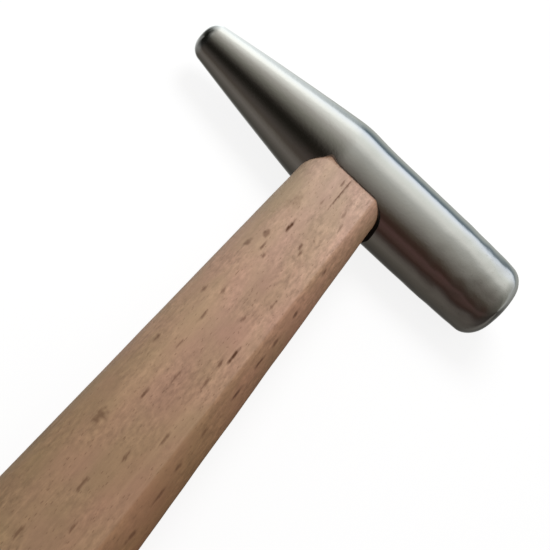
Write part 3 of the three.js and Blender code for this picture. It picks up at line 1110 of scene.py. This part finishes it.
DIM_ROOM = [
    (-60, 108, 108, 105), (-45, 128, 129, 126), (-28, 150, 152, 147), (-10, 148, 153, 149),
    (1, 124, 133, 134), (9, 92, 104, 110), (15, 98, 112, 122), (20, 190, 200, 211),
    (26, 220, 227, 235), (36, 222, 226, 226), (46, 213, 216, 210), (63, 205, 205, 199),
    (83, 160, 160, 154), (103, 136, 134, 127), (124, 106, 102, 96), (144, 66, 58, 50),
    (155, 52, 38, 32), (163, 50, 35, 29), (174, 70, 51, 48), (186, 62, 46, 41),
    (194, 49, 34, 29), (204, 56, 47, 43), (216, 78, 72, 67), (227, 83, 78, 72),
    (247, 67, 63, 57), (267, 55, 52, 48), (286, 62, 60, 57), (300, 108, 108, 105),
]
LARGE_END_ROOM = [
    (-60, 58, 57, 54), (-40, 74, 73, 70), (-22, 112, 112, 109), (0, 142, 143, 140),
    (20, 146, 147, 142), (48, 116, 116, 109), (85, 110, 109, 102), (97, 90, 89, 83),
    (121, 84, 82, 75), (159, 56, 53, 48), (190, 47, 43, 39), (232, 46, 42, 40),
    (246, 78, 75, 71), (260, 98, 95, 90), (285, 82, 80, 77), (300, 58, 57, 54),
]
# Each room, with the X of the rays where it starts to show and where it shows alone.
ROOMS = [
    (None, TIP_ROOM),
    ((-0.95, -0.70), SMALL_END_ROOM),
    ((-0.80, -0.36), BRIGHT_ROOM),
    ((-0.26, -0.03), DIM_ROOM),
    ((0.09, 0.90), LARGE_END_ROOM),
]
# Soft light on the wood, from a cool bright side to a warm dim one.
BRIGHT_SIDE = Vector((-0.55, 0.35, 0.76))
COOL_LIGHT = (0.47, 0.485, 0.50, 1)
WARM_LIGHT = (0.20, 0.115, 0.06, 1)
# What the camera sees past the floor, and the floor.
BACKDROP = (0.93, 0.93, 0.93, 1)
FLOOR_RADIUS = 4.0
FLOOR_GLOW = 0.86


def mirrored_room(shader, ray):
    """The colour that a ray off the steel meets, brightened by as much as the steel dims it."""
    x, y, z = shader.xyz(ray)
    angle = shader.math("ARCTAN2", z, y)
    turn = shader.math("MULTIPLY_ADD", angle, 0.5 / math.pi, -FIRST_ANGLE / 360)
    turn = shader.math("FRACT", turn)
    colour = None
    for edges, stops in ROOMS:
        room = shader.ramp(turn, [
            ((degrees - FIRST_ANGLE) / 360, srgb(red, green, blue, 1 / STEEL_REFLECTANCE))
            for degrees, red, green, blue in stops
        ])
        colour = shader.mix(shader.span(x, *edges), colour, room) if edges else room
    return colour


def studio_world():
    world = bpy.data.worlds.new("studio")
    bpy.context.scene.world = world
    shader = Shader(world)
    ray = shader.add("TexCoord", {}, "Generated")
    facing = shader.add("VectorMath", {0: ray, 1: BRIGHT_SIDE}, "Value", operation="DOT_PRODUCT")
    soft = shader.mix(shader.span(facing, -1, 1), WARM_LIGHT, COOL_LIGHT)
    seen = shader.add("LightPath", {}, "Is Camera Ray")
    glossy = seen.node.outputs["Is Glossy Ray"]
    lighting = shader.add("Background", {0: soft})
    backdrop = shader.add("Background", {0: BACKDROP})
    mirrored = shader.add("Background", {0: mirrored_room(shader, ray)})
    plain = shader.add("MixShader", {0: seen, 1: lighting, 2: backdrop})
    mixed = shader.add("MixShader", {0: glossy, 1: plain, 2: mirrored})
    shader.add("OutputWorld", {"Surface": mixed}, output=None)


def floor_material():
    material, shader = new_shader("floor")
    cloud = shader.noise(shader.add("TexCoord", {}, "Object"), 1.5, 2)
    tone = shader.mix(cloud, (0.19, 0.19, 0.19, 1), (0.21, 0.21, 0.21, 1))
    shader.surface({
        "Base Color": tone, "Roughness": 1.0, "Specular IOR Level": 0.0,
        "Emission Color": (1, 1, 1, 1), "Emission Strength": FLOOR_GLOW,
    })
    return material


def build_floor():
    """A white floor under the hammer, which neither lights it nor shows in the steel."""
    mesh = bpy.data.meshes.new("floor")
    shape = bmesh.new()
    bmesh.ops.create_circle(shape, cap_ends=True, radius=FLOOR_RADIUS, segments=96)
    shape.to_mesh(mesh)
    shape.free()
    floor = bpy.data.objects.new("floor", mesh)
    floor.location = (0, 0, cad_box[0][2])
    mesh.materials.append(floor_material())
    bpy.context.scene.collection.objects.link(floor)
    floor.visible_glossy = False
    floor.visible_diffuse = False


def add_soft_light(name, place, aim, size, power):
    """A disk of light, its place and aim in millimetres about the eye and its size in metres."""
    place, aim = (EYE + Vector(point) * MM for point in (place, aim))
    lamp = bpy.data.lights.new(name, "AREA")
    lamp.shape = "DISK"
    lamp.size = size
    lamp.energy = power
    holder = bpy.data.objects.new(name, lamp)
    holder.location = place
    holder.rotation_euler = (aim - place).to_track_quat("-Z", "Y").to_euler()
    holder.visible_glossy = False
    bpy.context.scene.collection.objects.link(holder)


# The camera's place and axes, about the middle of the eye; its place is in millimetres.
CAMERA_PLACE = Vector((-12.9, -173.2, 167.9))
CAMERA_RIGHT = Vector((0.733, 0.4949, 0.4668))
CAMERA_AHEAD = Vector((0.0631, 0.6337, -0.771))
CAMERA_LENS = 72.8
CAMERA_SENSOR_WIDTH = 36
CAMERA_CLIP_START = 0.01


def add_camera():
    lens = bpy.data.cameras.new("camera")
    lens.lens = CAMERA_LENS
    lens.sensor_width = CAMERA_SENSOR_WIDTH
    lens.clip_start = CAMERA_CLIP_START
    holder = bpy.data.objects.new("camera", lens)
    back = -CAMERA_AHEAD.normalized()
    up = back.cross(CAMERA_RIGHT).normalized()
    right = up.cross(back)
    turn = Matrix((right, up, back)).transposed().to_4x4()
    holder.matrix_world = Matrix.Translation(EYE + CAMERA_PLACE * MM) @ turn
    bpy.context.scene.collection.objects.link(holder)
    bpy.context.scene.camera = holder


# Scene ----------------------------------------------------------------------------------

add_camera()
studio_world()
build_floor()
add_soft_light("key", place=(-60, 70, 230), aim=(0, -40, 0), size=0.14, power=0.33)
bpy.context.scene.view_settings.view_transform = "Standard"

build_head(polished_steel())
build_handle(beech())
build_wood_wedge(wedge_wood())
build_steel_wedge(wedge_steel())
